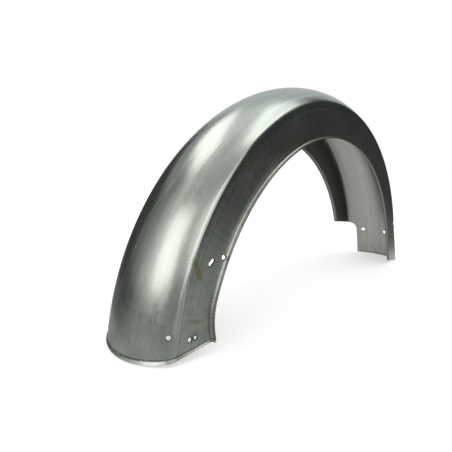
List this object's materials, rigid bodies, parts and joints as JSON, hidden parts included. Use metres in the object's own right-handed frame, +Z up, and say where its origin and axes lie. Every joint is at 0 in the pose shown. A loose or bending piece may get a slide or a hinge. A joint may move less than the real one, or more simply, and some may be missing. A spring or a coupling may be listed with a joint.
{
  "type": "motorcycle rear fender",
  "caption": "Bare steel motorcycle rear fender: a crowned half-round arch with flat lipped sides, a flared tail, and a bolt-on tongue where one side is cut away in front.",
  "frame": {"origin": "middle of the arch on the floor it stands on, halfway between its two ends", "axes": "+X to the front of the machine, +Y to its left, +Z up; the arch stands on its tail and its tongue"},
  "size_m": [0.6799, 0.1328, 0.3121],
  "materials": {
    "bare_steel": "bare sheet, brushed along the arch, with stains and scuffs"
  },
  "bodies": {
    "root": {"rear_fender": "bare_steel"}
  },
  "joints": []
}
